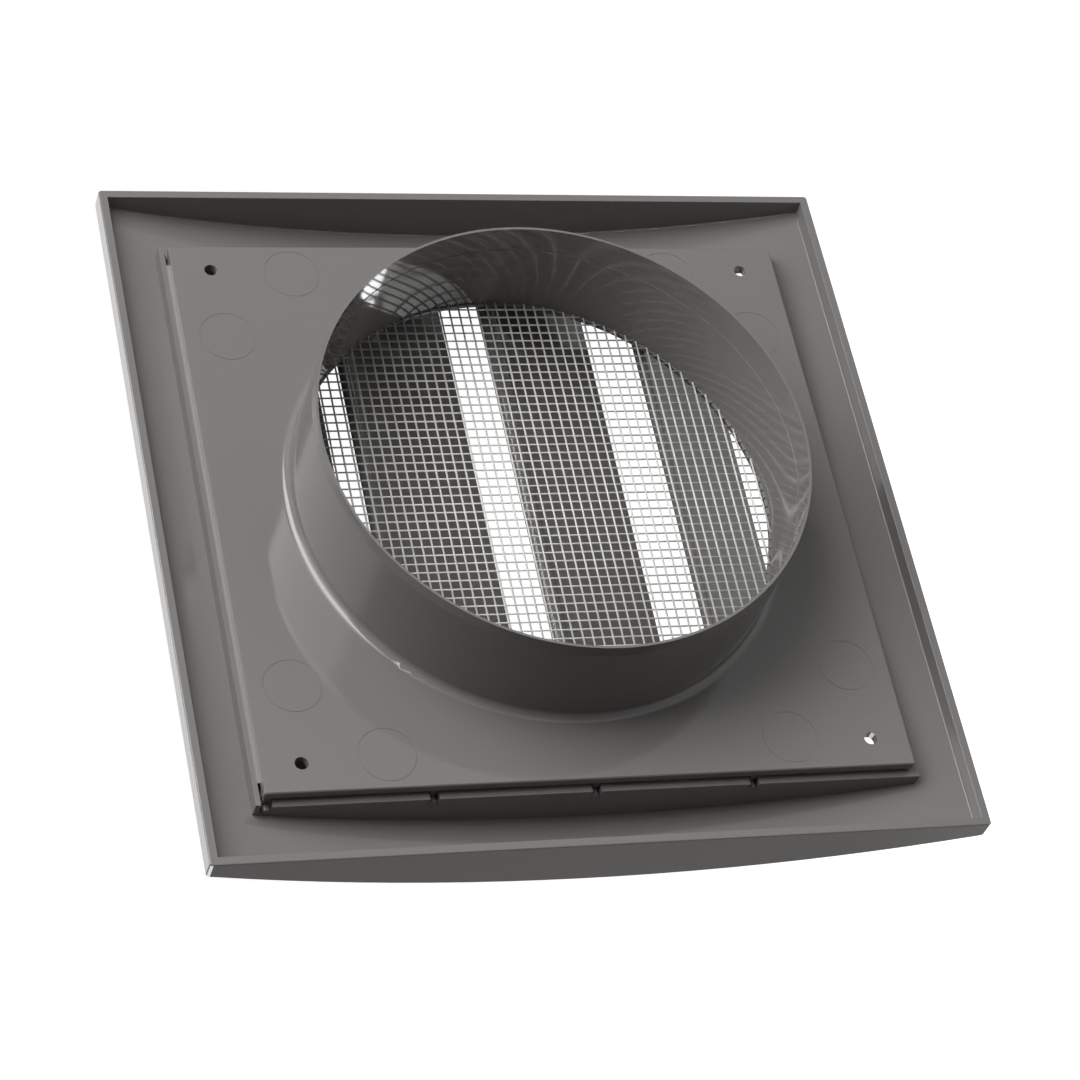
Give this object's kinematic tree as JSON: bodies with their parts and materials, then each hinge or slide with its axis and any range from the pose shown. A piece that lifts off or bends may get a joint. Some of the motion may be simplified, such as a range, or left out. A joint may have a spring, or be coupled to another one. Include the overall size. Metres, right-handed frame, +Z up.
{
  "type": "louvred wall vent grille",
  "caption": "Square grey plastic wall vent with hinged gravity louvre flaps, an insect mesh and a round duct spigot behind.",
  "frame": {"origin": "middle of the wall plane, on the spigot's axis, where the rim's back face meets the wall", "axes": "+Y into the wall along the spigot, +Z up as installed, the louvres face -Y"},
  "size_m": [0.233, 0.0738, 0.233],
  "materials": {
    "grey_abs": "glossy moulded",
    "silver_net": "silver grey net"
  },
  "bodies": {
    "vent_body": {"front_frame": "grey_abs", "back_plate": "grey_abs", "insect_mesh": "silver_net"},
    "flap_1": {"flap_1": "grey_abs"},
    "flap_2": {"flap_2": "grey_abs"},
    "flap_3": {"flap_3": "grey_abs"},
    "flap_4": {"flap_4": "grey_abs"}
  },
  "joints": [
    {"name": "flap_1_hinge", "type": "hinge", "parent": "vent_body", "child": "flap_1", "pos_m": [0, -0.0073, 0.0965], "axis": [-1, 0, 0], "range_deg": [-17.1, 57.9]},
    {"name": "flap_2_hinge", "type": "hinge", "parent": "vent_body", "child": "flap_2", "pos_m": [0, -0.0073, 0.04825], "axis": [-1, 0, 0], "range_deg": [-23.7, 51.3]},
    {"name": "flap_3_hinge", "type": "hinge", "parent": "vent_body", "child": "flap_3", "pos_m": [0, -0.0073, 0], "axis": [-1, 0, 0], "range_deg": [-25.7, 49.3]},
    {"name": "flap_4_hinge", "type": "hinge", "parent": "vent_body", "child": "flap_4", "pos_m": [0, -0.0073, -0.04825], "axis": [-1, 0, 0], "range_deg": [-35.4, 39.6]}
  ]
}
